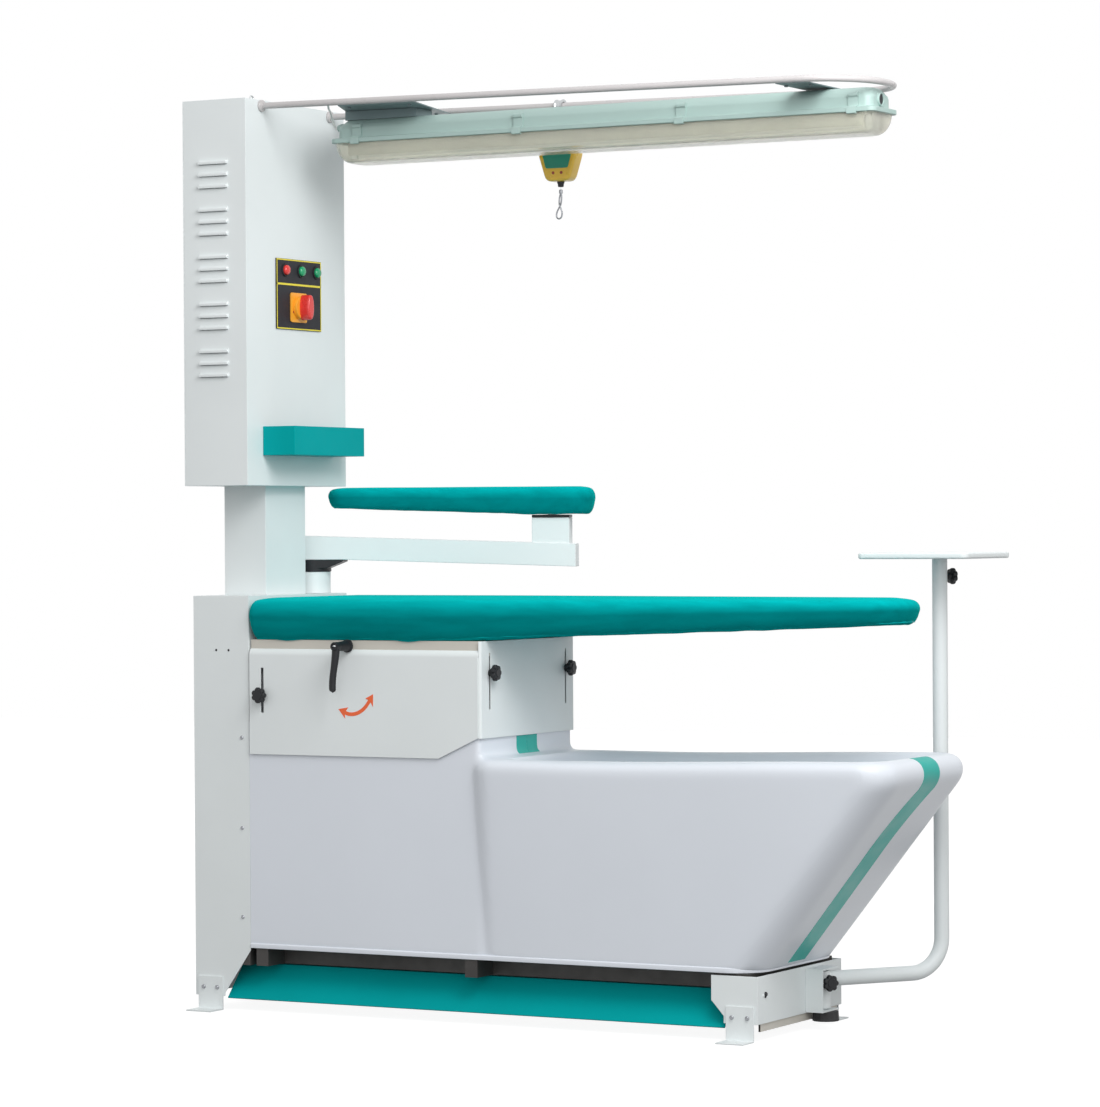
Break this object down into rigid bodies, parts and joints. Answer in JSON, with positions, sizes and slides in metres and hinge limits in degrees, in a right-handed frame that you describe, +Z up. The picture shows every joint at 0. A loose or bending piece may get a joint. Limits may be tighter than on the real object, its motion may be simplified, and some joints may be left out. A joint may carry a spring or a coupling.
{
  "type": "vacuum ironing table",
  "caption": "Industrial vacuum ironing table: padded board on a hollow body with catch tub, foot pedal, swing sleeve board, control cabinet, overhead lamp and iron balancer.",
  "frame": {"origin": "on the floor, under the middle of the table's outline", "axes": "+X from the column to the tip of the board, +Y from the operator's side to the rear, +Z up"},
  "size_m": [1.6984, 0.7106, 1.978],
  "materials": {
    "painted_white": "satin powder coat",
    "moulded_white": "smooth gloss moulding",
    "cream": "satin",
    "teal_paint": "satin",
    "cloth_teal": "woven cotton cover",
    "black_plastic": "satin",
    "red_plastic": "gloss",
    "green_plastic": "gloss",
    "yellow_plastic": "gloss",
    "yellow_paint": "gloss",
    "steel": "bright",
    "galvanised": "dull zinc",
    "aluminium": "mill",
    "lamp_grey": "satin",
    "clear_plastic": "clear, aged a little yellow",
    "lamp_white": "white coated",
    "white_cord": "satin"
  },
  "bodies": {
    "base": {"base_frame": "galvanised", "column_housing": "painted_white", "foot_front_left": "painted_white", "foot_front_right": "painted_white", "foot_rear_left": "painted_white", "foot_rear_right": "painted_white", "end_bracket": "painted_white", "body_shell": "moulded_white", "fan_housing": "galvanised", "fan_motor": "galvanised", "suction_duct": "galvanised", "support_tower": "galvanised", "pedal_spring": "steel", "foot_switch": "black_plastic", "mast": "painted_white", "cabinet_shell": "painted_white", "control_panel": "black_plastic", "switch_plate": "yellow_plastic", "iron_rest": "teal_paint", "arm_post": "painted_white", "rail": "painted_white", "lamp_body": "lamp_grey", "lamp_diffuser": "clear_plastic", "lamp_tube": "lamp_white", "lamp_cable": "white_cord", "tray_socket": "painted_white", "tray_socket_foot": "black_plastic"},
    "board_group": {"plenum": "cream", "skirt_front": "painted_white", "skirt_rear": "painted_white", "skirt_end": "painted_white", "board_cover": "cloth_teal", "board_pan": "aluminium"},
    "damper": {"damper_flap": "aluminium", "damper_lever": "black_plastic"},
    "side_knob_front": {"knob_front": "black_plastic"},
    "side_knob_rear": {"knob_rear": "black_plastic"},
    "end_knob_front": {"knob_end_front": "black_plastic"},
    "end_knob_rear": {"knob_end_rear": "black_plastic"},
    "foot_pedal": {"pedal": "teal_paint"},
    "impeller": {"fan_impeller": "galvanised"},
    "door": {"cabinet_door": "painted_white"},
    "red_button": {"button_red": "red_plastic"},
    "left_green_button": {"button_green_left": "green_plastic"},
    "right_green_button": {"button_green_right": "green_plastic"},
    "main_switch": {"switch_knob": "red_plastic"},
    "sleeve_arm": {"arm_bearing": "black_plastic", "swing_arm": "painted_white", "sleeve_bearing": "black_plastic"},
    "sleeve_board": {"sleeve_pan": "aluminium", "sleeve_cover": "cloth_teal"},
    "balancer": {"balancer_hanger": "steel", "balancer_case": "yellow_paint", "balancer_cable": "steel"},
    "hook": {"balancer_hook": "steel"},
    "tray_tube": {"tray_arm": "painted_white"},
    "tray_arm_knob": {"knob_tray_arm": "black_plastic"},
    "tray_post_knob": {"knob_tray_post": "black_plastic"},
    "post": {"tray_post": "steel"},
    "tray": {"tray_plate": "painted_white"}
  },
  "joints": [
    {"name": "board_height", "type": "slide", "parent": "base", "child": "board_group", "axis": [0, 0, 1], "range_m": [-0.03, 0.035]},
    {"name": "damper_lever", "type": "hinge", "parent": "board_group", "child": "damper", "pos_m": [-0.43116, -0.29329, 0.794], "axis": [0, -1, 0], "range_deg": [0, 40]},
    {"name": "side_knob_front_turn", "type": "hinge", "parent": "base", "child": "side_knob_front", "pos_m": [-0.64916, -0.29859, 0.686], "axis": [0, -1, 0], "continuous": true},
    {"name": "side_knob_rear_turn", "type": "hinge", "parent": "base", "child": "side_knob_rear", "pos_m": [-0.64916, 0.11601, 0.686], "axis": [0, 1, 0], "continuous": true},
    {"name": "end_knob_front_turn", "type": "hinge", "parent": "base", "child": "end_knob_front", "pos_m": [-0.10586, -0.25729, 0.739], "axis": [1, 0, 0], "continuous": true},
    {"name": "end_knob_rear_turn", "type": "hinge", "parent": "base", "child": "end_knob_rear", "pos_m": [-0.10586, 0.07471, 0.739], "axis": [1, 0, 0], "continuous": true},
    {"name": "pedal_press", "type": "hinge", "parent": "base", "child": "foot_pedal", "pos_m": [-0.14816, -0.17529, 0.08], "axis": [1, 0, 0], "range_deg": [0, 8], "stiffness_Nm_per_rad": 40, "springref_deg": -8.59, "deforming": ["pedal_spring"]},
    {"name": "fan_spin", "type": "hinge", "parent": "base", "child": "impeller", "pos_m": [-0.47616, -0.09929, 0.33], "axis": [0, 1, 0], "continuous": true},
    {"name": "door_swing", "type": "hinge", "parent": "base", "child": "door", "pos_m": [-0.84916, 0.11071, 1.558], "axis": [0, 0, -1], "range_deg": [0, 110]},
    {"name": "red_button_press", "type": "slide", "parent": "base", "child": "red_button", "axis": [-1, 0, 0], "range_m": [0, 0.0035], "stiffness_N_per_m": 400, "springref_m": -0.001},
    {"name": "left_green_button_press", "type": "slide", "parent": "base", "child": "left_green_button", "axis": [-1, 0, 0], "range_m": [0, 0.0035], "stiffness_N_per_m": 400, "springref_m": -0.001},
    {"name": "right_green_button_press", "type": "slide", "parent": "base", "child": "right_green_button", "axis": [-1, 0, 0], "range_m": [0, 0.0035], "stiffness_N_per_m": 400, "springref_m": -0.001},
    {"name": "main_switch_turn", "type": "hinge", "parent": "base", "child": "main_switch", "pos_m": [-0.68616, -0.09129, 1.532], "axis": [1, 0, 0], "range_deg": [0, 90]},
    {"name": "arm_swing", "type": "hinge", "parent": "base", "child": "sleeve_arm", "pos_m": [-0.74816, 0.06671, 1], "axis": [0, 0, 1], "range_deg": [-55, 90]},
    {"name": "sleeve_swing", "type": "hinge", "parent": "sleeve_arm", "child": "sleeve_board", "pos_m": [-0.24925, 0.27849, 1.07], "axis": [0, 0, 1], "range_deg": [-120, 120]},
    {"name": "balancer_travel", "type": "slide", "parent": "base", "child": "balancer", "axis": [0.9999, 0, -0.014], "range_m": [-0.18, 0.6]},
    {"name": "hook_pull", "type": "slide", "parent": "balancer", "child": "hook", "axis": [0, 0, -1], "range_m": [0, 0.5], "stiffness_N_per_m": 20, "springref_m": -0.1, "deforming": ["balancer_cable"]},
    {"name": "tray_swing", "type": "hinge", "parent": "base", "child": "tray_tube", "pos_m": [0.55384, -0.03129, 0.083], "axis": [0, 0, 1], "range_deg": [0, 35]},
    {"name": "tray_arm_knob_turn", "type": "hinge", "parent": "tray_tube", "child": "tray_arm_knob", "pos_m": [0.57014, -0.0427, 0.0986], "axis": [0.8192, -0.5736, 0], "continuous": true},
    {"name": "tray_post_knob_turn", "type": "hinge", "parent": "tray_tube", "child": "tray_post_knob", "pos_m": [0.72953, 0.21962, 0.936], "axis": [0.5736, 0.8192, 0], "continuous": true},
    {"name": "tray_height", "type": "slide", "parent": "tray_tube", "child": "post", "axis": [0, 0, 1], "range_m": [0, 0.2]},
    {"name": "tray_turn", "type": "hinge", "parent": "post", "child": "tray", "pos_m": [0.72018, 0.20626, 0.979], "axis": [0, 0, 1], "range_deg": [-180, 180]}
  ]
}
